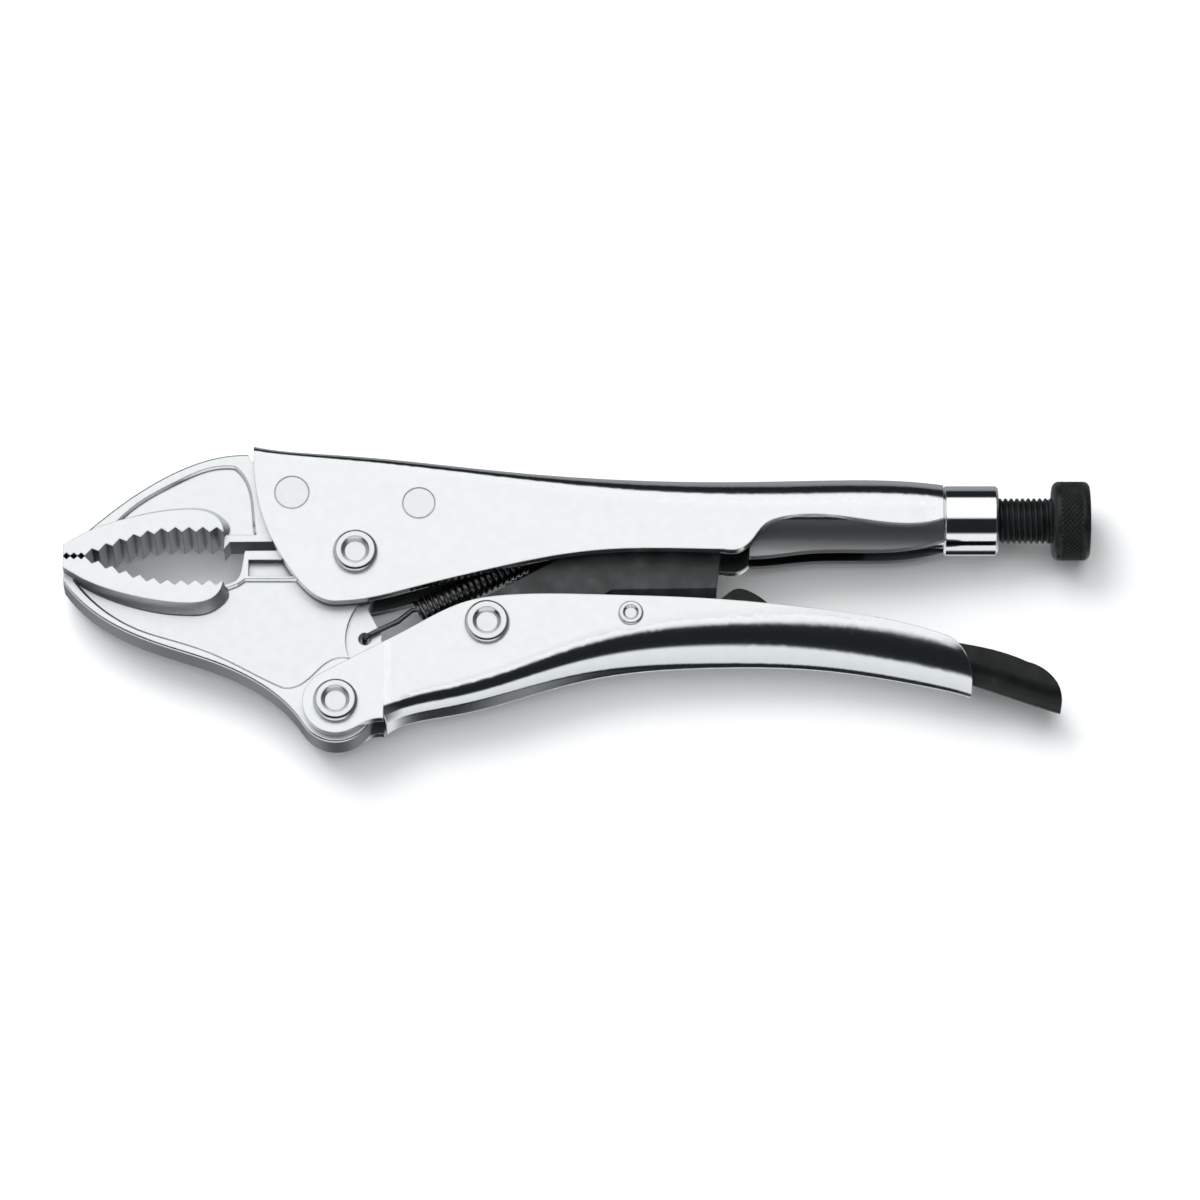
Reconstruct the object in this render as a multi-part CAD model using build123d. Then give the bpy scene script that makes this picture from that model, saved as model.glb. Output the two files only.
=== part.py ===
from build123d import *
import math
import os

# Locking pliers, lying on their side. All sizes are in millimetres.
# X runs from the jaw tips towards the screw knob, Y from the lower handle towards the upper handle,
# and Z is the tool's thickness. While the pieces are built, X-Y-Z zero is on the axis of the adjusting
# screw in the tool's middle plane. On export everything is shifted so that zero is under the middle
# of the closed tool, on the surface that it lies on.

# ---- pivots -------------------------------------------------------------------------------------
MAIN_PIVOT = (-53.4, -9.5)
LOWER_PIVOT = (-57.4, -43.8)
TOGGLE_PIVOT = (-24.6, -25.8)
LEVER_PIVOT = (6.7, -24.1)
RUNNING_GAP = 0.05

# ---- sheet and plate thicknesses ----------------------------------------------------------------
SHEET = 2.5
LEVER_SHEET = 1.8
HANDLE_FRONT_WIDTH = 13.4
JAW_THICKNESS = 8.0
BOSS_THICKNESS = 14.4
BOSS_DRAFT = 1.4
PANEL_DEPTH = 0.9
EDGE_RADIUS = 0.6
PANEL_EDGE = 0.5
LUG_THICKNESS = 4.0
LINK_THICKNESS = 6.4
FAR = 60.0
# How far along its corner a Bezier handle reaches when the curve is a quarter of an ellipse.
ROUND = 0.5523

# ---- jaws ---------------------------------------------------------------------------------------
TIP_X = -117.2
TIP_TEETH_END_X = -112.4
BOSS_END_X = -82.2
BITE_Y = -10.6
MOUTH_GAP = 0.1
MOUTH_HALF_HEIGHT = 6.6
TOOTH_HEIGHT = 1.15
TIP_TOOTH_PITCH = 1.6
TIP_TOOTH_HEIGHT = 0.7
MOUTH_TEETH = 10
HUB_RADIUS = 7.0
LOWER_EYE_RADIUS = 8.5

# ---- rivets -------------------------------------------------------------------------------------
HEAD_RADIUS = 4.9
HEAD_HEIGHT = 1.8
SHANK_RADIUS = 3.4
LEVER_HEAD_RADIUS = 2.7
LEVER_HEAD_HEIGHT = 0.8
LEVER_SHANK_RADIUS = 1.7
# Each flush rivet is (x, y, radius, half length).
FRONT_FLUSH_RIVET = (-67.4, 4.3, 3.8, 6.7)
REAR_FLUSH_RIVET = (-39.6, 1.8, 3.6, 6.78)

# ---- adjusting screw and its nut ----------------------------------------------------------------
THREAD_RADIUS = 5.0
NUT_START_X = 58.0
NUT_COLLAR_X = 75.2
NUT_END_X = 87.2
NUT_COLLAR_RADIUS = 7.65
NOSE_TIP_X = 30.2
NOSE_END_X = 37.0
KNOB_START_X = 99.0
KNOB_END_X = 107.4
KNOB_RADIUS = 8.65

# ---- spring -------------------------------------------------------------------------------------
SPRING_EYE = (-51.3, -28.0)
SPRING_TAB_EYE = (-8.7, -4.5)
SPRING_RADIUS = 3.1
WIRE_RADIUS = 0.6
EYE_RADIUS = 1.4

# ---- cross-sections of the folded parts ----------------------------------------------------------
# Each is (x, width, height of the fold, corner size across, corner size along the wall).
UPPER_STATIONS = [
    (-75.9, 13.4, 15.7, 2.6, 2.6), (-54.0, 13.4, 13.5, 2.8, 2.8), (-31.7, 13.7, 11.3, 3.4, 3.4),
    (-10.7, 14.8, 9.3, 4.6, 4.6), (4.0, 16.2, 8.5, 6.0, 6.0), (22.7, 17.6, 8.2, 7.6, 7.6),
    (43.7, 17.6, 8.7, 8.5, 8.5), (65.6, 17.3, 8.7, 8.4, 8.4), (75.2, 15.5, 7.8, 7.5, 7.5),
]
LOWER_STATIONS = [
    (-47.0, 13.4, -48.6, 3.2, 4.6), (-26.0, 13.9, -42.5, 3.8, 5.2), (-10.7, 15.0, -38.0, 4.8, 6.4),
    (1.0, 16.0, -35.4, 6.2, 7.8), (12.0, 16.9, -34.2, 7.4, 9.0), (26.0, 17.4, -33.7, 8.2, 10.0),
    (50.6, 17.4, -34.6, 8.2, 12.0), (68.0, 17.3, -37.4, 8.1, 13.0), (82.0, 17.0, -41.0, 8.0, 13.0),
]
LEVER_STATIONS = [
    (1.0, 10.4, -29.0, 3.0, 3.0), (20.0, 10.4, -29.3, 4.0, 4.0), (40.0, 10.0, -30.2, 4.7, 4.7),
    (60.0, 9.6, -32.4, 4.6, 4.6), (78.0, 9.6, -36.8, 4.6, 4.6), (101.0, 10.4, -44.5, 5.0, 5.0),
]


def loop(curves):
    """One closed wire from curves that follow each other."""
    return Wire([edge for curve in curves for edge in curve.edges()])


def flat(outline, z_low, z_high):
    """A plate between two heights, from a closed outline in the X-Y plane."""
    return extrude(Pos(0, 0, z_low) * make_face(outline), z_high - z_low, dir=(0, 0, 1))


def centred(outline, thickness):
    """A plate of a given thickness about the middle plane."""
    return flat(outline, -thickness / 2, thickness / 2)


def disc(centre, radius, thickness):
    """A round plate about the middle plane."""
    return Pos(centre[0], centre[1], 0) * Cylinder(radius, thickness)


def polar(centre, radius, degrees):
    """A point on a circle."""
    angle = math.radians(degrees)
    return (centre[0] + radius * math.cos(angle), centre[1] + radius * math.sin(angle))


def arch(x, width, fold, corner, drop, open_end):
    """The cross-section of a folded channel at one place, closed at the fold."""
    half = width / 2
    side = 1 if fold > open_end else -1
    shoulder = fold - side * drop
    round_y = fold - side * drop * (1 - ROUND)
    round_z = half - corner * (1 - ROUND)
    edges = [
        Line((open_end, -half), (shoulder, -half)),
        Bezier((shoulder, -half), (round_y, -half), (fold, -round_z), (fold, corner - half)),
        Line((fold, corner - half), (fold, half - corner)),
        Bezier((fold, half - corner), (fold, round_z), (round_y, half), (shoulder, half)),
        Line((shoulder, half), (open_end, half)),
        Line((open_end, half), (open_end, -half)),
    ]
    return Plane.YZ.offset(x) * make_face(loop(edges))


def channel(stations, sheet, open_end, overshoot):
    """A folded sheet channel lofted through its cross-sections."""
    side = 1 if stations[0][2] > open_end else -1
    outer = loft([arch(*station, open_end) for station in stations])
    hollow = []
    for x, width, fold, corner, drop in stations:
        inner_corner = max(corner - sheet, 0.5)
        inner_drop = max(drop - sheet, 0.5)
        hollow.append((x, width - 2 * sheet, fold - side * sheet, inner_corner, inner_drop))
    first, last = hollow[0], hollow[-1]
    hollow = [(first[0] - overshoot, *first[1:]), *hollow, (last[0] + overshoot, *last[1:])]
    inner = loft([arch(*station, open_end - side * overshoot) for station in hollow])
    return outer - inner


def tubular_rivet(centre, wall, head_radius, head_height, shank_radius):
    """A rivet along Z, with a rounded, recessed head on each side, seated on walls at +-wall."""
    top = wall + head_height
    bend = head_height * 0.6
    middle = bend * (1 - math.sqrt(0.5))
    recess = head_radius * 0.63
    floor = head_radius * 0.47
    bottom = top - head_height * 0.7
    half = loop([
        Polyline([(head_radius - bend, top), (recess, top), (floor, bottom), (0, bottom), (0, 0),
                  (shank_radius, 0), (shank_radius, wall), (head_radius, wall), (head_radius, top - bend)]),
        ThreePointArc(
            (head_radius, top - bend), (head_radius - middle, top - middle), (head_radius - bend, top)
        ),
    ])
    one_side = revolve(Plane.XZ * make_face(half), Axis.Z)
    return Pos(centre[0], centre[1], 0) * (one_side + mirror(one_side, Plane.XY))


def flush_rivet(x, y, radius, wall):
    """A rivet ground level with both cheeks, its rim edge broken."""
    broken_edge = 0.2
    pin = Cylinder(radius, 2 * wall)
    return Pos(x, y, 0) * chamfer(pin.edges().filter_by(GeomType.CIRCLE), broken_edge)


def mouth_edge(side):
    """The toothed biting edge, from the tip to the rear of the boss. side is +1 above, -1 below."""
    points = []
    start = BITE_Y + side * MOUTH_GAP / 2
    tip_teeth = round((TIP_TEETH_END_X - TIP_X) / TIP_TOOTH_PITCH)
    for tooth in range(tip_teeth):
        x = TIP_X + tooth * TIP_TOOTH_PITCH
        points.append((x, start))
        points.append((x + TIP_TOOTH_PITCH / 2, start + side * TIP_TOOTH_HEIGHT))
    points.append((TIP_TEETH_END_X, start))
    length = BOSS_END_X - TIP_TEETH_END_X
    for tooth in range(MOUTH_TEETH):
        for part, rise in ((0.5, TOOTH_HEIGHT), (1.0, 0.0)):
            along = (tooth + part) / MOUTH_TEETH
            swell = math.sin(math.pi / 2 * min(along / 0.68, 1.0)) ** 1.1
            depth = (MOUTH_HALF_HEIGHT - TOOTH_HEIGHT) * swell
            points.append((TIP_TEETH_END_X + along * length, start + side * (depth + rise)))
    return points


def boss(side):
    """The wide toothed part of a jaw, its outer wall sloping down to the plate. side is +1 above."""
    # Each point of the outer wall is (x, height above the bite, how far the draft carries it in x and y).
    wall = [
        (-82.6, 7.4, 1.0, 0.3), (-83.9, 9.2, 0.7, 0.7), (-86.6, 10.5, 0.3, 1.0), (-89.9, 10.8, 0.0, 1.0),
        (-95.8, 10.3, 0.0, 1.0), (-101.9, 9.1, 0.0, 0.9), (-108.0, 7.3, 0.0, 0.7), (-112.9, 5.2, 0.0, 0.5),
    ]
    tip_height = 2.6
    teeth = mouth_edge(side)

    def outline(draft):
        points = [(x + draft * dx, BITE_Y + side * (y + draft * dy)) for x, y, dx, dy in wall]
        tip = Polyline([points[-1], (TIP_X, BITE_Y + side * tip_height), teeth[0]])
        return loop([Spline([teeth[-1], *points]), tip, Polyline(teeth)])

    sunk = 0.5
    low = JAW_THICKNESS / 2 - sunk
    high = BOSS_THICKNESS / 2
    foot = Pos(0, 0, low) * make_face(outline(BOSS_DRAFT * (high - low) / (high - low - sunk)))
    crest = Pos(0, 0, high) * make_face(outline(0))
    sloped = loft([foot, crest], ruled=True)
    return centred(outline(0), JAW_THICKNESS) + sloped + mirror(sloped, Plane.XY)


def soft_edges(plate, radius, is_outer):
    """Rounds the edges of a plate's two faces that pass the test."""
    half = plate.bounding_box().max.Z
    edges = plate.edges().filter_by(lambda e: abs(abs(e.center().Z) - half) < 0.01 and is_outer(e))
    return fillet(edges, radius)


def pockets(outline, thickness, depth):
    """Two shallow pockets, one in each face of a plate."""
    half = thickness / 2
    return flat(outline, half - depth, half + 1) + flat(outline, -half - 1, -half + depth)


def sunk_panel(plate, outline, thickness, depth):
    """The plate with a shallow panel sunk in each face, its rim chamfered."""
    half = thickness / 2
    plate = plate - pockets(outline, thickness, depth)
    rims = [edge.center() for edge in outline.edges()]

    def on_rim(edge):
        centre = edge.center()
        at_face = abs(abs(centre.Z) - half) < 0.01
        return at_face and any(math.hypot(centre.X - rim.X, centre.Y - rim.Y) < 0.1 for rim in rims)

    return chamfer(plate.edges().filter_by(on_rim), PANEL_EDGE)


def fixed_jaw():
    teeth = mouth_edge(1)
    hub_clearance = HUB_RADIUS + 0.6
    underside = Polyline([teeth[-1], (BOSS_END_X, -8.0), (-81.0, -6.3), (-60.2, -6.1)])
    relief = ThreePointArc(
        (-60.2, -6.1), polar(MAIN_PIVOT, hub_clearance, 90), polar(MAIN_PIVOT, hub_clearance, 27)
    )
    tang_start = polar(MAIN_PIVOT, hub_clearance, 27)
    tang = Polyline([tang_start, (-36.0, -5.4), (-33.5, -2.8), (-33.5, 8.4), (-76.4, 12.4), (-77.2, 14.0),
                     (-79.5, 14.1)])
    back = Spline([(-79.5, 14.1), (-85.1, 13.2), (-92.7, 10.3), (-100.4, 5.8), (-112.9, -4.3)])
    tip = Polyline([(-112.9, -4.3), (TIP_X, -7.9), teeth[0]])
    outline = loop([underside, relief, tang, back, tip, Polyline(teeth)])
    jaw = centred(outline, JAW_THICKNESS)
    jaw = soft_edges(jaw, EDGE_RADIUS, lambda e: e.length > 5 and e.center().X < -85 and e.center().Y > -7)
    recess = loop([
        Spline([(-105.6, -1.9), (-99.6, 3.4), (-92.7, 7.4), (-86.0, 10.4), (-80.2, 10.9)]),
        Spline([(-80.2, 10.9), (-77.6, 7.6), (-76.3, 1.8), (-75.6, -4.6)]),
        Line((-75.6, -4.6), (-105.6, -4.6)),
        Line((-105.6, -4.6), (-105.6, -1.9)),
    ])
    jaw = sunk_panel(jaw, recess, JAW_THICKNESS, PANEL_DEPTH)
    jaw = jaw + boss(1)
    for x, y, radius, _ in (FRONT_FLUSH_RIVET, REAR_FLUSH_RIVET):
        jaw = jaw - disc((x, y), radius, FAR)
    return jaw


def movable_jaw():
    teeth = mouth_edge(-1)
    hub_left = polar(MAIN_PIVOT, HUB_RADIUS, 168.5)
    hub_right = polar(MAIN_PIVOT, HUB_RADIUS, -10)
    eye_right = polar(LOWER_PIVOT, LOWER_EYE_RADIUS, 25)
    eye_left = polar(LOWER_PIVOT, LOWER_EYE_RADIUS, 214)
    behind_mouth = Spline([teeth[-1], (-81.6, -16.0), (-79.4, -15.0), (-78.2, -12.0), (-77.6, -8.3)])
    shoulder = Line((-77.6, -8.3), hub_left)
    hub = ThreePointArc(hub_left, polar(MAIN_PIVOT, HUB_RADIUS, 80), hub_right)
    back = Polyline([hub_right, (-50.6, -21.2), (-47.6, -27.2), (-47.6, -31.0), eye_right])
    eye = ThreePointArc(eye_right, polar(LOWER_PIVOT, LOWER_EYE_RADIUS, -60), eye_left)
    belly = Spline([eye_left, (-72.6, -40.1), (-83.8, -34.2), (-98.8, -29.0), (-111.1, -22.2),
                    (TIP_X, -15.7)])
    tip = Line((TIP_X, -15.7), teeth[0])
    jaw = centred(loop([behind_mouth, shoulder, hub, back, eye, belly, tip, Polyline(teeth)]), JAW_THICKNESS)
    jaw = soft_edges(jaw, EDGE_RADIUS, lambda e: e.length > 4 and e.center().Y < -15 and e.center().X < -54)
    recess = loop([
        Spline([(-114.6, -15.0), (-110.0, -20.2), (-100.4, -26.3), (-92.1, -29.0), (-83.8, -32.0),
                (-72.6, -37.8), (-68.8, -39.6)]),
        Spline([(-68.8, -39.6), (-64.6, -38.4), (-60.4, -34.4), (-54.6, -32.8)]),
        Polyline([(-54.6, -32.8), (-52.6, -30.8), (-52.6, -22.0), (-50.6, -16.0), (-62.0, -15.2),
                  (-77.4, -15.2), (-79.0, -16.3), (-82.2, -17.6), (-114.6, -14.0)]),
        Line((-114.6, -14.0), (-114.6, -15.0)),
    ])
    jaw = sunk_panel(jaw, recess, JAW_THICKNESS, PANEL_DEPTH)
    groove = Polyline([(-76.8, -10.4), (-62.5, -10.4), (-62.5, -14.1), (-76.8, -14.1)], close=True)
    groove_depth = 2.2
    jaw = jaw - pockets(groove, JAW_THICKNESS, groove_depth)
    lug_side = loop([
        Spline([(-52.0, -19.2), (-54.9, -24.6), (-55.5, -28.6), (-54.2, -33.4)]),
        Polyline([(-54.2, -33.4), (-44.0, -33.4), (-44.0, -19.2), (-52.0, -19.2)]),
    ])
    jaw = jaw - pockets(lug_side, JAW_THICKNESS, (JAW_THICKNESS - LUG_THICKNESS) / 2)
    jaw = jaw + boss(-1)
    jaw = jaw - disc(MAIN_PIVOT, SHANK_RADIUS + RUNNING_GAP, FAR)
    jaw = jaw - disc(LOWER_PIVOT, SHANK_RADIUS + RUNNING_GAP, FAR)
    return jaw - disc(SPRING_EYE, EYE_RADIUS, FAR)


def upper_handle(inserts):
    shell = channel(UPPER_STATIONS, SHEET, -30.0, 8.0)
    front = Spline([(-76.2, 30.0), (-75.9, 12.0), (-75.2, 4.5), (-72.8, -3.9), (-66.9, -14.4),
                    (-63.4, -18.4), (-60.6, -20.2), (-57.0, -20.8)])
    under = Spline([(-57.0, -20.8), (-53.0, -20.5), (-39.4, -17.3), (-25.8, -13.9), (-10.7, -10.7),
                    (0.4, -9.4), (11.6, -9.2), (27.0, -9.6)])
    step = Spline([(27.0, -9.6), (33.2, -7.4), (36.0, -3.8), (41.0, -1.9), (50.0, -1.6), (76.0, -1.6)])
    rest = Polyline([(76.0, -1.6), (76.0, 30.0), (-76.2, 30.0)])
    shell = shell & centred(loop([front, under, step, rest]), FAR)

    # The rear grip is pressed inwards below its middle, and its lips turn down beside the screw.
    wall = loop([
        ThreePointArc((-9.8, 4.3), (-5.2, 5.6), (-2.4, 7.2)),
        Polyline([(-2.4, 7.2), (-1.7, 7.65), (0.4, 7.65), (0.4, 6.4), (-1.6, 5.6)]),
        ThreePointArc((-1.6, 5.6), (-4.6, 4.0), (-9.8, 2.5)),
        Line((-9.8, 2.5), (-9.8, 4.3)),
    ])
    lip_outline = loop([
        Spline([(27.2, -9.4), (36.3, -9.6), (45.0, -8.6), (65.6, -8.1), (75.2, -6.2)]),
        Polyline([(75.2, -6.2), (75.2, 0.4), (36.0, 0.4), (33.0, -6.0), (27.2, -9.4)]),
    ])
    start_x = 32.6
    profile = Plane.YZ.offset(start_x) * make_face(wall)
    lip = extrude(profile, NUT_COLLAR_X - start_x, dir=(1, 0, 0)) & centred(lip_outline, FAR)
    shell = shell + lip + mirror(lip, Plane.XY)

    tab = centred(Polyline([(-13.5, 7.6), (-11.4, -7.4), (-6.0, -7.4), (-4.0, 7.2)], close=True), 2.0)
    shell = shell + (tab - disc(SPRING_TAB_EYE, EYE_RADIUS, FAR))
    for x, y, radius, _ in (FRONT_FLUSH_RIVET, REAR_FLUSH_RIVET):
        shell = shell - disc((x, y), radius, FAR)
    for insert in inserts:
        shell = shell - insert
    return shell


def lower_handle(rivets):
    shell = channel(LOWER_STATIONS, SHEET, -10.0, 8.0)
    ear_radius = 7.2
    top = Spline([(-47.0, -30.0), (-38.5, -25.2), (-29.1, -20.9), (-19.7, -19.5), (1.7, -19.8),
                  (24.1, -20.9), (42.4, -22.6), (56.9, -24.6), (69.5, -27.3), (75.7, -29.3)])
    rear = Spline([(75.7, -29.3), (78.4, -31.4), (80.2, -34.6), (80.9, -38.0), (80.0, -44.0)])
    bottom = Polyline([(80.0, -44.0), (60.0, -60.0), (-42.0, -60.0), (-47.0, -46.6), (-47.0, -30.0)])
    shell = shell & centred(loop([top, rear, bottom]), FAR)

    ear_top = polar(LOWER_PIVOT, ear_radius, 117)
    ear_bottom = polar(LOWER_PIVOT, ear_radius, -72)
    ear_outline = loop([
        Polyline([ear_top, (-47.0, -30.0), (-47.0, -47.7)]),
        Spline([(-47.0, -47.7), (-49.4, -47.9), (-52.2, -49.2), ear_bottom]),
        ThreePointArc(ear_bottom, polar(LOWER_PIVOT, ear_radius, 200), ear_top),
    ])
    outer = HANDLE_FRONT_WIDTH / 2
    for low, high in ((outer - SHEET, outer), (-outer, SHEET - outer)):
        shell = shell + flat(ear_outline, low, high)
    for rivet in rivets:
        shell = shell - rivet
    return shell


def toggle_link():
    boss_radius = 6.5
    outline = loop([
        Polyline([polar(TOGGLE_PIVOT, boss_radius, 118), (17.0, 4.2), (24.0, 4.2)]),
        Spline([(24.0, 4.2), (26.6, 2.4), (27.0, -1.0), (26.4, -9.0), (25.4, -18.2)]),
        Polyline([(25.4, -18.2), (0.0, -18.6), polar(TOGGLE_PIVOT, boss_radius, -62)]),
        ThreePointArc(
            polar(TOGGLE_PIVOT, boss_radius, -62),
            polar(TOGGLE_PIVOT, boss_radius, 208),
            polar(TOGGLE_PIVOT, boss_radius, 118),
        ),
    ])
    link = centred(outline, LINK_THICKNESS)
    lower = link.edges().filter_by(GeomType.LINE).filter_by(lambda e: abs(e.center().Y + 18.4) < 0.3)
    link = chamfer(lower.filter_by(lambda e: abs(e.center().Z) > 1), 1.6)
    return link - disc(TOGGLE_PIVOT, SHANK_RADIUS + RUNNING_GAP, FAR)


def release_lever():
    shell = channel(LEVER_STATIONS, LEVER_SHEET, -10.0, 8.0)
    eye_radius = 4.6
    eye_top = polar(LEVER_PIVOT, eye_radius, 90)
    eye_bottom = polar(LEVER_PIVOT, eye_radius, 250)
    cam = Spline([eye_top, (14.0, -20.4), (22.0, -21.0), (26.6, -19.6), (29.6, -17.5), (33.0, -18.2),
                  (38.0, -22.4)])
    top = Spline([(38.0, -22.4), (50.0, -24.6), (64.0, -26.9), (76.0, -29.4), (84.0, -31.0), (93.0, -34.2)])
    tail = Spline([(93.0, -34.2), (97.0, -36.2), (99.6, -39.4), (100.4, -43.2), (99.4, -46.0)])
    under = Polyline([(99.4, -46.0), (90.0, -60.0), (20.0, -60.0), eye_bottom])
    eye = ThreePointArc(eye_bottom, polar(LEVER_PIVOT, eye_radius, 180), eye_top)
    shell = shell & centred(loop([cam, top, tail, under, eye]), FAR)
    cam_outline = loop([
        Spline([(25.4, -21.0), (26.6, -20.4), (29.6, -18.3), (33.0, -19.0), (35.0, -20.8)]),
        Polyline([(35.0, -20.8), (35.0, -28.4), (25.4, -28.4), (25.4, -21.0)]),
    ])
    shell = shell + centred(cam_outline, 8.6)
    return shell - disc(LEVER_PIVOT, LEVER_SHANK_RADIUS + RUNNING_GAP, FAR)


def turned(points):
    """A solid of revolution about the screw axis, from (x, radius) points."""
    return revolve(make_face(Polyline(points, close=True)), Axis.X)


def nut_plug():
    """The part of the end nut inside the handle, narrowed where the grip is pressed in."""
    radius = 6.1
    half_flat = 5.6
    flat_top = -1.2
    length = NUT_COLLAR_X - NUT_START_X
    plug = turned([(NUT_START_X, 0), (NUT_START_X, radius), (NUT_COLLAR_X, radius), (NUT_COLLAR_X, 0)])
    for side in (-1, 1):
        centre = Pos(NUT_START_X + length / 2, flat_top - radius / 2, side * (half_flat + radius / 2))
        plug = plug - centre * Box(length, radius, radius)
    return plug


def end_nut():
    edge = 0.5
    collar = turned([
        (NUT_COLLAR_X, 0), (NUT_COLLAR_X, NUT_COLLAR_RADIUS - edge),
        (NUT_COLLAR_X + edge, NUT_COLLAR_RADIUS), (NUT_END_X - edge, NUT_COLLAR_RADIUS),
        (NUT_END_X, NUT_COLLAR_RADIUS - edge), (NUT_END_X, 0),
    ])
    return nut_plug() + collar - Rot(0, 90, 0) * Cylinder(THREAD_RADIUS + RUNNING_GAP, 4 * FAR)


def adjusting_screw():
    edge = 0.8
    journal = 2.6
    return turned([
        (NOSE_END_X - 4.0, 0), (NOSE_END_X - 4.0, journal), (NOSE_END_X, journal),
        (NOSE_END_X, THREAD_RADIUS - edge), (NOSE_END_X + edge, THREAD_RADIUS),
        (KNOB_START_X, THREAD_RADIUS), (KNOB_START_X, 3.5), (KNOB_END_X - 2.0, 3.5), (KNOB_END_X - 2.0, 0),
    ])


def screw_nose():
    gap = 0.05
    depth = NOSE_END_X - 4.0 - gap
    return turned([
        (NOSE_TIP_X, 0), (NOSE_TIP_X, 1.6), (NOSE_TIP_X + 0.9, 3.0), (NOSE_TIP_X + 2.4, 4.0),
        (NOSE_END_X - gap, 4.0), (NOSE_END_X - gap, 2.6 + gap), (depth, 2.6 + gap), (depth, 0),
    ])


def knurled_knob():
    return turned([
        (KNOB_START_X, 3.5), (KNOB_START_X, 6.9), (KNOB_START_X + 0.5, 7.8),
        (KNOB_START_X + 1.5, KNOB_RADIUS), (KNOB_END_X - 1.4, KNOB_RADIUS),
        (KNOB_END_X - 0.4, KNOB_RADIUS - 0.9), (KNOB_END_X, KNOB_RADIUS - 2.6), (KNOB_END_X, 0),
        (KNOB_END_X - 2.0, 0), (KNOB_END_X - 2.0, 3.5),
    ])


def jaw_spring():
    """A plain envelope of the extension spring: its coil as a cylinder, and a hook at each end."""
    run_x = SPRING_TAB_EYE[0] - SPRING_EYE[0]
    run_y = SPRING_TAB_EYE[1] - SPRING_EYE[1]
    length = math.hypot(run_x, run_y)
    front_reach = 13.5
    rear_reach = 9.0
    side = LUG_THICKNESS / 2 + WIRE_RADIUS + 0.2
    coil_start = front_reach
    coil_end = length - rear_reach
    coil = Rot(0, 90, 0) * Cylinder(SPRING_RADIUS, coil_end - coil_start)
    coil = Pos((coil_start + coil_end) / 2, 0, 0) * coil
    front_path = FilletPolyline(
        (0, 0, -side - 0.6), (0, 0, side), (front_reach - 5, 0, side), (front_reach + 0.5, 0, 0), radius=0.9
    )
    rear_side = 1.0 + WIRE_RADIUS + 0.2
    rear_path = FilletPolyline(
        (length, 0, -rear_side - 0.6), (length, 0, rear_side), (length - rear_reach + 3, 0, rear_side),
        (coil_end - 0.5, 0, 0), radius=0.7
    )
    spring = coil
    for path in (front_path, rear_path):
        section = Plane(origin=path @ 0, z_dir=path % 0) * Circle(WIRE_RADIUS)
        spring = spring + sweep(section, path=path)
    angle = math.degrees(math.atan2(run_y, run_x))
    return Pos(SPRING_EYE[0], SPRING_EYE[1], 0) * Rot(0, 0, angle) * spring


def build():
    front_wall = HANDLE_FRONT_WIDTH / 2
    pieces = {}
    pieces["main_pivot_rivet"] = tubular_rivet(
        MAIN_PIVOT, front_wall, HEAD_RADIUS, HEAD_HEIGHT, SHANK_RADIUS
    )
    pieces["fixed_jaw_front_rivet"] = flush_rivet(*FRONT_FLUSH_RIVET)
    pieces["fixed_jaw_rear_rivet"] = flush_rivet(*REAR_FLUSH_RIVET)
    pieces["lower_pivot_rivet"] = tubular_rivet(
        LOWER_PIVOT, front_wall, HEAD_RADIUS, HEAD_HEIGHT, SHANK_RADIUS
    )
    pieces["toggle_rivet"] = tubular_rivet(TOGGLE_PIVOT, 6.9, HEAD_RADIUS, HEAD_HEIGHT - 0.2, SHANK_RADIUS)
    pieces["lever_rivet"] = tubular_rivet(
        LEVER_PIVOT, 8.1, LEVER_HEAD_RADIUS, LEVER_HEAD_HEIGHT, LEVER_SHANK_RADIUS
    )
    pieces["upper_handle"] = upper_handle([pieces["main_pivot_rivet"], nut_plug()])
    pieces["lower_handle"] = lower_handle([
        pieces["lower_pivot_rivet"], pieces["toggle_rivet"], pieces["lever_rivet"]
    ])
    pieces["fixed_jaw"] = fixed_jaw()
    pieces["movable_jaw"] = movable_jaw()
    pieces["toggle_link"] = toggle_link()
    pieces["release_lever"] = release_lever()
    pieces["end_nut"] = end_nut()
    pieces["adjusting_screw"] = adjusting_screw()
    pieces["screw_nose"] = screw_nose()
    pieces["knurled_knob"] = knurled_knob()
    pieces["jaw_spring"] = jaw_spring()
    return pieces


def main():
    os.makedirs("parts", exist_ok=True)
    pieces = build()
    box = Compound(children=[Compound(piece.solids()) for piece in pieces.values()]).bounding_box()
    shift = (-(TIP_X + KNOB_END_X) / 2, -(box.min.Y + box.max.Y) / 2, -box.min.Z)
    print("shift", [round(value, 4) for value in shift])
    for name, piece in pieces.items():
        export_step(Pos(*shift) * Compound(piece.solids()), f"parts/{name}.step")


main()
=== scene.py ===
import math

import bpy
from mathutils import Matrix, Vector


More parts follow.
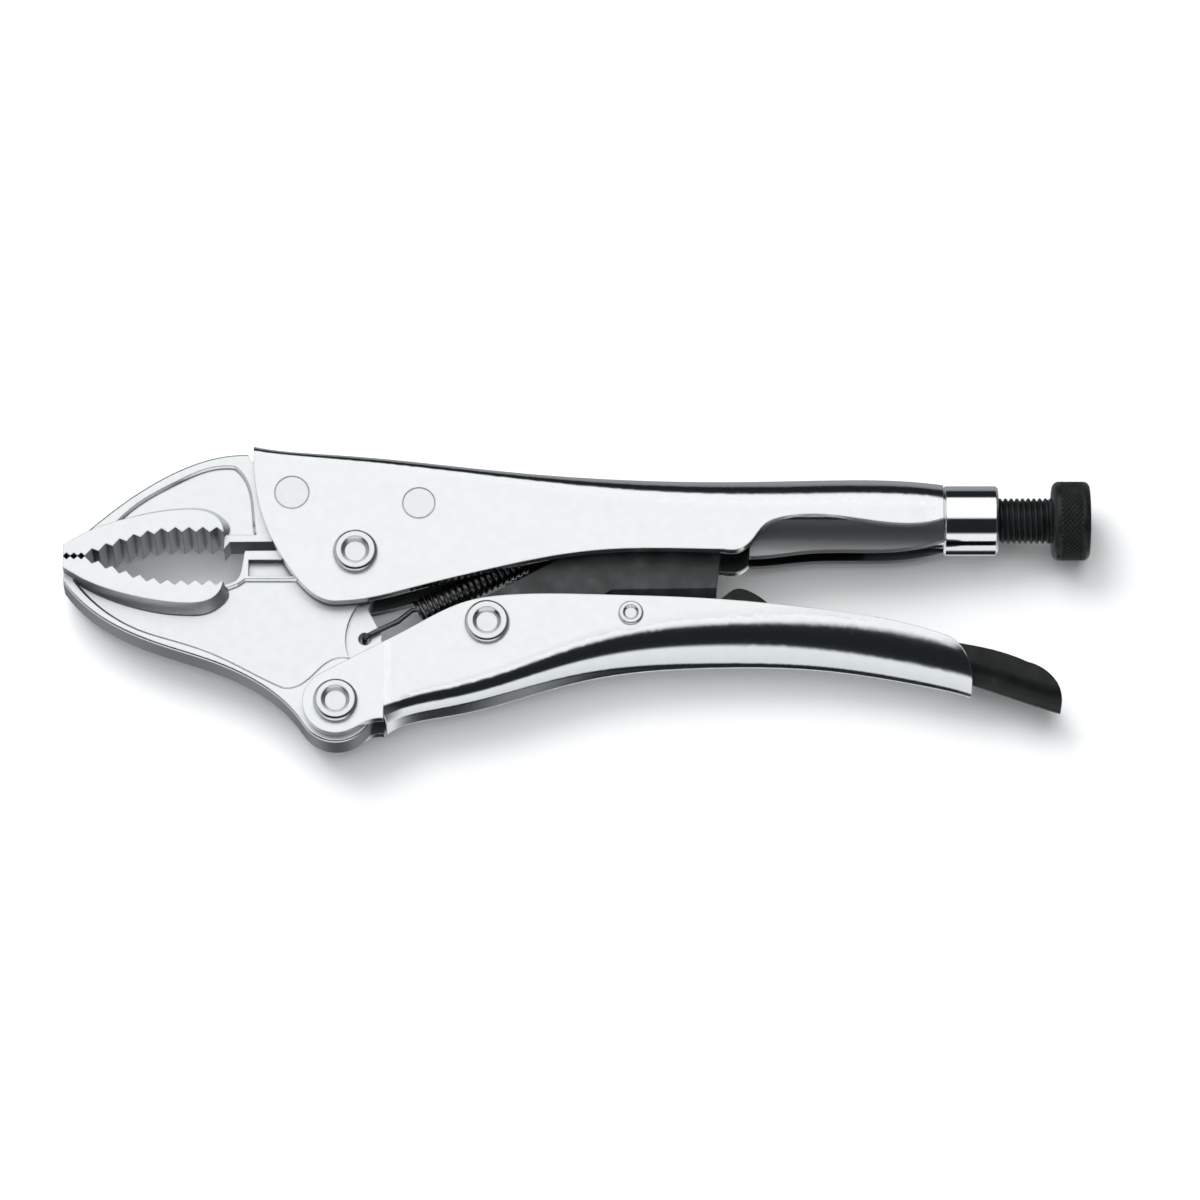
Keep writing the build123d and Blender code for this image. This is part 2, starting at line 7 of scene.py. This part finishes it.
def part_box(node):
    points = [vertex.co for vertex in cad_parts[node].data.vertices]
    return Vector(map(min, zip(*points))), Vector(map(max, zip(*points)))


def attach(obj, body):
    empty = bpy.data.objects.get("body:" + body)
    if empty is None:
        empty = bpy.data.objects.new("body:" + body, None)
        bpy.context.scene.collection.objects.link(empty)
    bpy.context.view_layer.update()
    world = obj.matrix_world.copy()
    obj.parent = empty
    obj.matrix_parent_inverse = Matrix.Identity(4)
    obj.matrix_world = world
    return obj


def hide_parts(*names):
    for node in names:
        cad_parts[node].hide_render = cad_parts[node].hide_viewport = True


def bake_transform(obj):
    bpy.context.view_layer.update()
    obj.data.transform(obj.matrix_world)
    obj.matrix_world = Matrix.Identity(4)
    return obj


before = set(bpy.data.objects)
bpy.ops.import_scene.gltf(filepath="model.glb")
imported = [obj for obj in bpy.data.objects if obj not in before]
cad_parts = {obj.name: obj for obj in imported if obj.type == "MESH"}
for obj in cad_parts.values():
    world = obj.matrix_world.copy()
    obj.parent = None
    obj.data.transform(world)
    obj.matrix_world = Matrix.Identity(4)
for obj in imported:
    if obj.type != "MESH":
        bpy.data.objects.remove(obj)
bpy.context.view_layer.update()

MM = 0.001

# ---- view and light -----------------------------------------------------------------------------
CAMERA_ELEVATION = math.radians(71)
CAMERA_DISTANCE = 1.9
SENSOR_WIDTH = 36.0
FRAME_WIDTH = 262.4 * MM
VIEW_CENTRE = Vector((4.9 * MM, 0.0, 8.9 * MM))
FLOOR_SIZE = 6.0
KEY_POWER = 22.0
KEY_SIZE = 1.3
KEY_PLACE = Vector((-0.7, 1.0, 1.3))
FILL_POWER = 31.0
FILL_SIZE = 3.2
FILL_PLACE = Vector((-0.2, 0.1, 1.9))
# The white card overhead leans this far from straight up, towards the upper handle's side.
CARD_LEAN = math.radians(27.5)

# ---- surface --------------------------------------------------------------------------------------
MIDDLE_Z = 8.9 * MM
# The recess pressed into the upper grip starts this far below the screw's axis, inside this half width.
RECESS_DROP = 2.0 * MM
RECESS_HALF_WIDTH = 7.7 * MM
# The recess is made rougher, and darkened with painted shade, by this share.
RECESS_DULL_SHADE = 0.85
EDGE_ROUNDING = 0.3 * MM
# How fast a mask goes from 0 to 1, per metre: on inner faces, and past a limit.
INNER_SHARPNESS = 900.0
LIMIT_SHARPNESS = 2500.0
# A jaw's face counts as a side wall of the forging, rougher and darkened partly with painted shade, once its
# normal has lost this share of its part along the thickness.
FORGED_SHADE_SHARE = 0.45
DULL_ROUGHNESS = 0.28
# A face is flat from this part of its normal along the thickness.
FLAT_LEAN = 0.985
# Polished folds take this share of the satin flats' tone, so that both look as bright under the card.
FOLD_TONE = 0.89

# ---- screw --------------------------------------------------------------------------------------
THREAD_PITCH = 1.25 * MM
THREAD_DEPTH = 0.72 * MM
JOURNAL_RADIUS = 2.6 * MM
JOURNAL_LENGTH = 3.9 * MM
SHANK_SEGMENTS = 64
RINGS_PER_PITCH = 12
KNOB_SEGMENTS = 368
KNOB_RINGS = 72
KNURL_ROWS = 46
KNURL_DEPTH = 0.38 * MM

# ---- spring -------------------------------------------------------------------------------------
WIRE_RADIUS = 0.6 * MM
COIL_RADIUS = 2.5 * MM
COIL_PITCH = 1.42 * MM
# The hooks lie this far beside the jaw's lug and the handle's tab, and take this much of the length.
LUG_SIDE = 2.8 * MM
TAB_SIDE = 1.8 * MM
FRONT_REACH = 13.5 * MM
REAR_REACH = 9.0 * MM


def node(tree, kind, **inputs):
    """Adds a shader node and sets its unlinked inputs by name."""
    made = tree.nodes.new(kind)
    for name, value in inputs.items():
        made.inputs[name].default_value = value
    return made


def new_material(name):
    """A material with a Principled shader, its node tree and the shader."""
    material = bpy.data.materials.new(name)
    material.use_nodes = True
    tree = material.node_tree
    shader = next(n for n in tree.nodes if n.type == "BSDF_PRINCIPLED")
    return material, tree, shader


def object_noise(tree, scale, detail, stretch=(1, 1, 1)):
    """A noise fixed to the piece, stretched along its axes."""
    coordinates = tree.nodes.new("ShaderNodeTexCoord")
    mapping = node(tree, "ShaderNodeMapping", Scale=stretch)
    noise = node(tree, "ShaderNodeTexNoise", Scale=scale, Detail=detail)
    tree.links.new(coordinates.outputs["Object"], mapping.inputs["Vector"])
    tree.links.new(mapping.outputs["Vector"], noise.inputs["Vector"])
    return noise


def ramp(tree, source, stops):
    """A colour ramp from (position, colour) stops."""
    made = tree.nodes.new("ShaderNodeValToRGB")
    elements = made.color_ramp.elements
    while len(elements) < len(stops):
        elements.new(0.5)
    for element, (position, colour) in zip(elements, stops):
        element.position = position
        element.color = (*colour, 1)
    tree.links.new(source, made.inputs["Fac"])
    return made


def value_range(tree, source, low, high):
    """Maps a 0-1 value to low-high."""
    made = node(tree, "ShaderNodeMapRange")
    made.inputs["To Min"].default_value = low
    made.inputs["To Max"].default_value = high
    tree.links.new(source, made.inputs["Value"])
    return made


def math_node(tree, operation, *operands, clamp=False):
    """A math node; each operand is a number or an output socket."""
    made = tree.nodes.new("ShaderNodeMath")
    made.operation = operation
    made.use_clamp = clamp
    for socket, operand in zip(made.inputs, operands):
        if isinstance(operand, (int, float)):
            socket.default_value = operand
        else:
            tree.links.new(operand, socket)
    return made.outputs[0]


def mix_colours(tree, factor, first, second):
    """Mixes two colours; each is an (r, g, b) or an output socket."""
    made = tree.nodes.new("ShaderNodeMix")
    made.data_type = "RGBA"
    colours = [socket for socket in made.inputs if socket.type == "RGBA"]
    for socket, colour in zip(colours, (first, second)):
        if isinstance(colour, tuple):
            socket.default_value = (*colour, 1)
        else:
            tree.links.new(colour, socket)
    tree.links.new(factor, made.inputs[0])
    return next(socket for socket in made.outputs if socket.type == "RGBA")


def multiply_colours(tree, first, second):
    """The product of two colour sockets."""
    made = tree.nodes.new("ShaderNodeVectorMath")
    made.operation = "MULTIPLY"
    tree.links.new(first, made.inputs[0])
    tree.links.new(second, made.inputs[1])
    return made.outputs["Vector"]


def surface_relief(tree, shader, source, strength):
    """Fine relief over slightly rounded edges."""
    edges = node(tree, "ShaderNodeBevel", Radius=EDGE_ROUNDING)
    edges.samples = 6
    bump = node(tree, "ShaderNodeBump", Strength=strength, Distance=0.05 * MM)
    tree.links.new(source, bump.inputs["Height"])
    tree.links.new(edges.outputs["Normal"], bump.inputs["Normal"])
    tree.links.new(bump.outputs["Normal"], shader.inputs["Normal"])


def height_and_lean(tree):
    """The height above the middle plane and the normal's part along the thickness."""
    coordinates = tree.nodes.new("ShaderNodeTexCoord")
    place = tree.nodes.new("ShaderNodeSeparateXYZ")
    lean = tree.nodes.new("ShaderNodeSeparateXYZ")
    tree.links.new(coordinates.outputs["Object"], place.inputs["Vector"])
    tree.links.new(coordinates.outputs["Normal"], lean.inputs["Vector"])
    height = math_node(tree, "SUBTRACT", place.outputs["Z"], MIDDLE_Z)
    return height, lean.outputs["Z"]


def inner_side(tree):
    """1 on faces turned towards the tool's middle plane, 0 elsewhere; these faces take painted shade and
    more roughness.
    """
    height, lean = height_and_lean(tree)
    outward = math_node(tree, "MULTIPLY", height, lean)
    return math_node(tree, "MULTIPLY", outward, -INNER_SHARPNESS, clamp=True)


def beyond(tree, value, limit, sense):
    """1 where a length is past a limit, upwards with sense 1 and downwards with sense -1."""
    past = math_node(tree, "SUBTRACT", value, limit)
    return math_node(tree, "MULTIPLY", past, sense * LIMIT_SHARPNESS, clamp=True)


def dull_and_shaded_recess(tree):
    """1 on inner faces and in the recess pressed into the upper grip, which polishing doesn't reach: they
    are rougher, and their darker colour is painted shade.
    """
    screw_low, screw_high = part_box("adjusting_screw")
    nose_low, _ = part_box("screw_nose")
    height, _ = height_and_lean(tree)
    place = tree.nodes.new("ShaderNodeSeparateXYZ")
    tree.links.new(tree.nodes.new("ShaderNodeTexCoord").outputs["Object"], place.inputs["Vector"])
    behind_nose = beyond(tree, place.outputs["X"], nose_low.x, 1)
    below_screw = beyond(tree, place.outputs["Y"], (screw_low.y + screw_high.y) / 2 - RECESS_DROP, -1)
    inset = beyond(tree, math_node(tree, "ABSOLUTE", height), RECESS_HALF_WIDTH, -1)
    recess = math_node(tree, "MULTIPLY", math_node(tree, "MULTIPLY", behind_nose, below_screw), inset)
    return math_node(tree, "MAXIMUM", inner_side(tree), math_node(tree, "MULTIPLY", recess, RECESS_DULL_SHADE))


def forged_and_shaded_side(tree):
    """1 on faces that stand across the thickness, 0 on the ground flat ones. These sides of the forging are
    rougher, and their darker colour is partly their own tone and partly painted shade.
    """
    _, lean = height_and_lean(tree)
    upright = math_node(tree, "SUBTRACT", 1.0, math_node(tree, "ABSOLUTE", lean))
    return math_node(tree, "MULTIPLY", math_node(tree, "SUBTRACT", upright, FORGED_SHADE_SHARE), 3.0, clamp=True)


def ground_flats(tree):
    """1 on the flat ground faces, 0 on folds and edges. Every joint but the screw's turns about Z."""
    faces = tree.nodes.new("ShaderNodeNewGeometry")
    lean = tree.nodes.new("ShaderNodeSeparateXYZ")
    tree.links.new(faces.outputs["True Normal"], lean.inputs["Vector"])
    flatness = math_node(tree, "SUBTRACT", math_node(tree, "ABSOLUTE", lean.outputs["Z"]), FLAT_LEAN)
    return math_node(tree, "MULTIPLY", flatness, 90.0, clamp=True)


def plated_steel(name, bright, roughness, grain_stretch, grain_scale, relief,
                 dull_and_shade_part=None, dull_tone_and_shade=None, satin=0.0):
    """Chrome plate over worked steel, with faint tone drift and fine grain.

    The mask argument marks unpolished faces, which are made rougher and darkened with painted shade to the
    given tone; satin is how much rougher the ground flats are than the folds.
    """
    material, tree, shader = new_material(name)
    shader.inputs["Metallic"].default_value = 1.0
    drift = object_noise(tree, 400, 3)
    faint = tuple(value * 0.965 for value in bright)
    colour = ramp(tree, drift.outputs["Fac"], [(0.3, faint), (0.7, bright)]).outputs["Color"]
    grain = object_noise(tree, grain_scale, 6, grain_stretch)
    rough = value_range(tree, grain.outputs["Fac"], *roughness).outputs["Result"]
    if dull_and_shade_part is not None:
        # The masked faces get more roughness and a darker tone that is painted shade.
        mask = dull_and_shade_part(tree)
        colour = mix_colours(tree, mask, colour, dull_tone_and_shade)
        rough = math_node(tree, "ADD", rough, math_node(tree, "MULTIPLY", mask, DULL_ROUGHNESS))
    if satin:
        flats = ground_flats(tree)
        rough = math_node(tree, "ADD", rough, math_node(tree, "MULTIPLY", flats, satin))
        folds = mix_colours(tree, flats, (FOLD_TONE, FOLD_TONE, FOLD_TONE), (1.0, 1.0, 1.0))
        colour = multiply_colours(tree, colour, folds)
    tree.links.new(colour, shader.inputs["Base Color"])
    tree.links.new(rough, shader.inputs["Roughness"])
    surface_relief(tree, shader, grain.outputs["Fac"], relief)
    return material


def black_oxide(name, sheen, tones):
    """Black-oxide steel: almost black, a soft sheen, fine tumbled texture and faint worn spots."""
    material, tree, shader = new_material(name)
    shader.inputs["Specular IOR Level"].default_value = sheen
    drift = object_noise(tree, 260, 5)
    stops = [(place, (tone, tone * 1.08, tone * 1.12)) for place, tone in zip((0.35, 0.62, 0.85), tones)]
    tone = ramp(tree, drift.outputs["Fac"], stops)
    tree.links.new(tone.outputs["Color"], shader.inputs["Base Color"])
    grain = object_noise(tree, 1500, 4)
    rough = value_range(tree, grain.outputs["Fac"], 0.26, 0.44)
    tree.links.new(rough.outputs["Result"], shader.inputs["Roughness"])
    surface_relief(tree, shader, grain.outputs["Fac"], 0.25)
    return material


def make_materials():
    bright = (0.93, 0.955, 0.96)
    # Painted shade on inner faces and in the recess, mixed with their duller finish.
    dull_inside_and_shade = (0.36, 0.37, 0.375)
    # Side walls of the forging: partly their own darker tone, partly painted shade.
    forged_tone_and_shade = (0.27, 0.28, 0.285)
    rivet_tone = (0.86, 0.88, 0.885)
    return {
        "upper": plated_steel("satin_chrome_upper_sheet", bright, (0.10, 0.16), (1, 7, 7), 900, 0.025,
                              dull_and_shaded_recess, dull_inside_and_shade, satin=0.26),
        "lower": plated_steel("satin_chrome_lower_sheet", bright, (0.10, 0.16), (1, 7, 7), 900, 0.025,
                              inner_side, dull_inside_and_shade, satin=0.26),
        "jaw": plated_steel("satin_chrome_forging", bright, (0.12, 0.20), (1, 1, 1), 1300, 0.05,
                            forged_and_shaded_side, forged_tone_and_shade, satin=0.24),
        "rivet": plated_steel("bright_chrome_rivet", rivet_tone, (0.07, 0.14), (1, 1, 1), 1100, 0.05,
                              satin=0.26),
        "nut": plated_steel("polished_chrome_nut", bright, (0.05, 0.10), (9, 1, 1), 700, 0.04),
        "link": black_oxide("black_oxide_link", 0.4, (0.016, 0.03, 0.06)),
        "lever": black_oxide("black_oxide_lever", 0.22, (0.004, 0.009, 0.02)),
        "screw": black_oxide("black_oxide_screw", 0.26, (0.006, 0.013, 0.022)),
        # The spring wire is dark partly for its own finish and partly as painted shade where it lies in the
        # handle's shadow.
        "spring": plated_steel("drawn_spring_wire", (0.16, 0.16, 0.165), (0.2, 0.35), (1, 1, 1), 900, 0.12),
    }


NODE_MATERIALS = {
    "upper_handle": "upper", "lower_handle": "lower", "end_nut": "nut",
    "fixed_jaw": "jaw", "movable_jaw": "jaw",
    "fixed_jaw_front_rivet": "rivet", "fixed_jaw_rear_rivet": "rivet", "main_pivot_rivet": "rivet",
    "lower_pivot_rivet": "rivet", "toggle_rivet": "rivet", "lever_rivet": "rivet",
    "toggle_link": "link", "release_lever": "lever", "screw_nose": "screw",
    "adjusting_screw": "screw", "knurled_knob": "screw", "jaw_spring": "spring",
}


def dress_cad_nodes(materials):
    """Gives each CAD node its material."""
    for name, key in NODE_MATERIALS.items():
        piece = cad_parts[name]
        piece.data.materials.clear()
        piece.data.materials.append(materials[key])


def grid_mesh(name, rings):
    """A closed tube from rings of points, all of the same count."""
    count = len(rings[0])
    points = [point for ring in rings for point in ring]
    faces = []
    for row in range(len(rings) - 1):
        for column in range(count):
            following = (column + 1) % count
            low, high = row * count, (row + 1) * count
            faces.append((low + column, low + following, high + following, high + column))
    faces.append(tuple(range(count - 1, -1, -1)))
    faces.append(tuple((len(rings) - 1) * count + i for i in range(count)))
    mesh = bpy.data.meshes.new(name)
    mesh.from_pydata(points, [], faces)
    mesh.update()
    made = bpy.data.objects.new(name, mesh)
    bpy.context.scene.collection.objects.link(made)
    return made


def shade_smooth(piece, degrees=35):
    """Smooth shading, with edges sharper than the given angle kept."""
    mesh = piece.data
    mesh.shade_smooth()
    mesh.set_sharp_from_angle(angle=math.radians(degrees))


def screw_ring(x, radius_at, segments, axis_y, axis_z):
    """Points around the screw's axis at x, each at the radius the function gives for its angle."""
    ring = []
    for step in range(segments):
        angle = 2 * math.pi * step / segments
        radius = radius_at(x, angle)
        ring.append((x, axis_y + radius * math.cos(angle), axis_z + radius * math.sin(angle)))
    return ring


def threaded_shank(axis_y, axis_z, start, end, radius):
    """The threaded shank with a real helical thread, and the plain journal in the nose."""
    def radius_at(x, angle):
        phase = (x / THREAD_PITCH - angle / (2 * math.pi)) % 1
        ridge = min(abs(2 * phase - 1) * 1.35, 1.0)
        fade = min((x - start) / THREAD_PITCH, (end - x) / THREAD_PITCH, 1.0)
        return radius - THREAD_DEPTH * (1 - ridge) * max(fade, 0.0)

    def ring(x, radius_function):
        return screw_ring(x, radius_function, SHANK_SEGMENTS, axis_y, axis_z)

    rings = [
        ring(start - JOURNAL_LENGTH, lambda x, a: JOURNAL_RADIUS),
        ring(start - 0.02 * MM, lambda x, a: JOURNAL_RADIUS),
        ring(start, lambda x, a: radius - THREAD_DEPTH),
    ]
    steps = int((end - start) / (THREAD_PITCH / RINGS_PER_PITCH))
    for step in range(1, steps + 1):
        rings.append(ring(start + (end - start) * step / steps, radius_at))
    return grid_mesh("threaded_shank", rings)


def knurled_knob(axis_y, axis_z, start, end, radius):
    """The knob, with a bevelled shoulder, a diamond-knurled band and a rounded outer rim."""
    length = end - start
    shoulder = 1.5 * MM
    neck_radius = 6.9 * MM
    rim = 1.4 * MM
    rim_drop = 1.7 * MM
    band_start, band_end = start + shoulder + 0.25 * MM, end - rim - 0.1 * MM

    def body_radius(x):
        if x < start + shoulder:
            rise = 1 - (x - start) / shoulder
            return neck_radius + (radius - neck_radius) * math.sqrt(max(1 - rise * rise, 0))
        if x > end - rim:
            drop = (x - (end - rim)) / rim
            return radius - rim_drop * (1 - math.sqrt(max(1 - drop * drop, 0)))
        return radius

    def radius_at(x, angle):
        fade = min(max(min(x - band_start, band_end - x) / (0.5 * MM), 0.0), 1.0)
        along = (x - band_start) / (2 * math.pi * radius) * KNURL_ROWS
        around = angle / (2 * math.pi) * KNURL_ROWS
        ridges = [abs(2 * ((along * 1.15 + sign * around) % 1) - 1) for sign in (-1, 1)]
        cut = 1 - min(min(ridges) * 2.2, 1.0)
        return body_radius(x) - KNURL_DEPTH * cut * fade

    def ring(x, radius_function):
        return screw_ring(x, radius_function, KNOB_SEGMENTS, axis_y, axis_z)

    rings = [ring(start + length * step / KNOB_RINGS, radius_at) for step in range(KNOB_RINGS + 1)]
    face_radius = body_radius(end)
    # The outer face has a shallow dish. Each ring is (share of the face's radius, depth in mm).
    for share, inset in ((0.93, 0.0), (0.55, 0.02), (0.5, 0.25), (0.2, 0.3)):
        rings.append(ring(end - inset * MM, lambda x, a: face_radius * share))
    return grid_mesh("diamond_knurled_knob", rings)


def make_screw(materials):
    low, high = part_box("knurled_knob")
    axis_y, axis_z = (low.y + high.y) / 2, (low.z + high.z) / 2
    shank_low, shank_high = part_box("adjusting_screw")
    _, nose_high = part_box("screw_nose")
    shank = threaded_shank(axis_y, axis_z, nose_high.x + 0.05 * MM, low.x, (shank_high.z - shank_low.z) / 2)
    knob = knurled_knob(axis_y, axis_z, low.x, high.x, (high.z - low.z) / 2)
    for piece, replaced in ((shank, "adjusting_screw"), (knob, "knurled_knob")):
        shade_smooth(piece, 50)
        piece.data.materials.append(materials["screw"])
        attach(piece, "screw")
        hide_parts(replaced)


def spring_path(length, lug_side, tab_side, front_reach, rear_reach):
    """The spring wire's centre line along its own X axis: a hook, the coil and a hook."""
    points = [(0, 0, -lug_side - 1.0 * MM), (0, 0, -lug_side * 0.5), (0, 0, lug_side * 0.6)]
    points += [(0.5 * MM, 0, lug_side), (2.0 * MM, 0, lug_side + 0.3 * MM)]
    points += [(front_reach * 0.6, 0, lug_side * 0.75)]
    points += [(front_reach - 1.2 * MM, 0.8 * MM, lug_side * 0.75)]
    coil_end = length - rear_reach
    turns = (coil_end - front_reach) / COIL_PITCH
    steps = int(turns * 20)
    for step in range(steps + 1):
        angle = math.pi / 2 - 2 * math.pi * turns * step / steps
        x = front_reach + (coil_end - front_reach) * step / steps
        points.append((x, COIL_RADIUS * math.cos(angle), COIL_RADIUS * math.sin(angle)))
    points += [(coil_end + 1.5 * MM, 0, tab_side), (length - 2.0 * MM, 0, tab_side + 0.2 * MM)]
    points += [(length - 0.5 * MM, 0, tab_side), (length, 0, tab_side * 0.6)]
    points += [(length, 0, -tab_side - 0.8 * MM)]
    return points


def make_spring(materials):
    low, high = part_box("jaw_spring")
    middle_z = (low.z + high.z) / 2
    eye = Vector((low.x + WIRE_RADIUS, low.y + WIRE_RADIUS, middle_z))
    tab = Vector((high.x - WIRE_RADIUS, high.y - WIRE_RADIUS, middle_z))
    run = tab - eye
    points = spring_path(run.length, LUG_SIDE, TAB_SIDE, FRONT_REACH, REAR_REACH)
    curve = bpy.data.curves.new("spring_line", "CURVE")
    curve.dimensions = "3D"
    curve.bevel_depth = WIRE_RADIUS
    curve.bevel_resolution = 3
    curve.use_fill_caps = True
    spline = curve.splines.new("POLY")
    spline.points.add(len(points) - 1)
    for point, (x, y, z) in zip(spline.points, points):
        point.co = (x, y, z, 1)
    line = bpy.data.objects.new("spring_line", curve)
    bpy.context.scene.collection.objects.link(line)
    bpy.context.view_layer.update()
    mesh = bpy.data.meshes.new_from_object(line.evaluated_get(bpy.context.evaluated_depsgraph_get()))
    bpy.data.objects.remove(line)
    angle = math.atan2(run.y, run.x)
    mesh.transform(Matrix.Translation(eye) @ Matrix.Rotation(angle, 4, "Z"))
    spring = bpy.data.objects.new("extension_spring", mesh)
    bpy.context.scene.collection.objects.link(spring)
    mesh.materials.clear()
    mesh.materials.append(materials["spring"])
    shade_smooth(spring, 60)
    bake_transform(spring)
    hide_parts("jaw_spring")


def make_floor():
    mesh = bpy.data.meshes.new("floor")
    half = FLOOR_SIZE / 2
    corner_points = [(-half, -half, 0), (half, -half, 0), (half, half, 0), (-half, half, 0)]
    mesh.from_pydata(corner_points, [], [(0, 1, 2, 3)])
    floor = bpy.data.objects.new("floor", mesh)
    bpy.context.scene.collection.objects.link(floor)
    material, _, shader = new_material("pale_floor")
    shader.inputs["Base Color"].default_value = (0.84, 0.85, 0.855, 1)
    shader.inputs["Roughness"].default_value = 0.9
    shader.inputs["Specular IOR Level"].default_value = 0.1
    mesh.materials.append(material)
    floor.visible_glossy = False


def make_world():
    """A studio as polished steel shows it: a white card overhead, dark bands, pale left, grey right."""
    world = bpy.data.worlds.new("studio")
    bpy.context.scene.world = world
    world.use_nodes = True
    tree = world.node_tree
    background = next(n for n in tree.nodes if n.type == "BACKGROUND")
    coordinates = tree.nodes.new("ShaderNodeTexCoord")
    direction = coordinates.outputs["Generated"]
    towards_card = tree.nodes.new("ShaderNodeVectorMath")
    towards_card.operation = "DOT_PRODUCT"
    towards_card.inputs[1].default_value = (0, math.sin(CARD_LEAN), math.cos(CARD_LEAN))
    tree.links.new(direction, towards_card.inputs[0])
    along = math_node(tree, "ADD", math_node(tree, "MULTIPLY", towards_card.outputs["Value"], 0.5), 0.5)
    dark = (0.014, 0.017, 0.019)
    pale = (0.80, 0.82, 0.83)
    white = (1.10, 1.11, 1.11)
    front = ramp(tree, along, [
        (0.00, dark), (0.012, dark), (0.035, pale), (0.47, (0.92, 0.94, 0.95)), (0.54, dark),
        (0.88, dark), (0.905, pale), (0.92, white),
    ])
    rear = ramp(tree, along, [
        (0.00, (0.26, 0.27, 0.28)), (0.50, (0.32, 0.33, 0.34)), (0.62, (0.24, 0.25, 0.26)), (0.68, dark),
        (0.88, dark), (0.905, pale), (0.92, white),
    ])
    parts = tree.nodes.new("ShaderNodeSeparateXYZ")
    tree.links.new(direction, parts.inputs["Vector"])
    behind = math_node(tree, "ADD", math_node(tree, "MULTIPLY", parts.outputs["Y"], 6.0), 0.5, clamp=True)
    bands = mix_colours(tree, behind, front.outputs["Color"], rear.outputs["Color"])
    aside = math_node(tree, "ABSOLUTE", parts.outputs["X"])
    sideways = math_node(tree, "SUBTRACT", math_node(tree, "MULTIPLY", aside, 2.5), 1.1, clamp=True)
    spread = math_node(tree, "MULTIPLY", parts.outputs["X"], 2.0)
    rightwards = math_node(tree, "ADD", spread, 0.5, clamp=True)
    side_walls = mix_colours(tree, rightwards, (0.56, 0.57, 0.58), (0.11, 0.115, 0.12))
    tree.links.new(mix_colours(tree, sideways, bands, side_walls), background.inputs["Color"])


def aim(piece, target):
    piece.rotation_euler = (target - piece.location).to_track_quat("-Z", "Y").to_euler()


def soft_light(name, place, size, power):
    """A round area light aimed at the tool. Polished faces show the studio, and not the light itself."""
    light = bpy.data.lights.new(name, "AREA")
    light.shape = "DISK"
    light.size = size
    light.energy = power
    lamp = bpy.data.objects.new(name, light)
    lamp.location = place
    aim(lamp, Vector((0, 0, 0)))
    lamp.visible_glossy = False
    bpy.context.scene.collection.objects.link(lamp)


def make_lights():
    """A key from the upper left that casts the soft shadow, and a wide fill overhead."""
    soft_light("key", KEY_PLACE, KEY_SIZE, KEY_POWER)
    soft_light("fill", FILL_PLACE, FILL_SIZE, FILL_POWER)


def make_camera():
    camera_data = bpy.data.cameras.new("camera")
    camera_data.sensor_width = SENSOR_WIDTH
    camera_data.lens = SENSOR_WIDTH * CAMERA_DISTANCE / FRAME_WIDTH
    camera_data.clip_end = 50
    camera = bpy.data.objects.new("camera", camera_data)
    direction = Vector((0, -math.cos(CAMERA_ELEVATION), math.sin(CAMERA_ELEVATION)))
    camera.location = VIEW_CENTRE + CAMERA_DISTANCE * direction
    aim(camera, VIEW_CENTRE)
    bpy.context.scene.collection.objects.link(camera)
    bpy.context.scene.camera = camera


bpy.context.scene.view_settings.view_transform = "Standard"
make_camera()
make_world()
make_lights()
make_floor()
finishes = make_materials()
dress_cad_nodes(finishes)
make_screw(finishes)
make_spring(finishes)
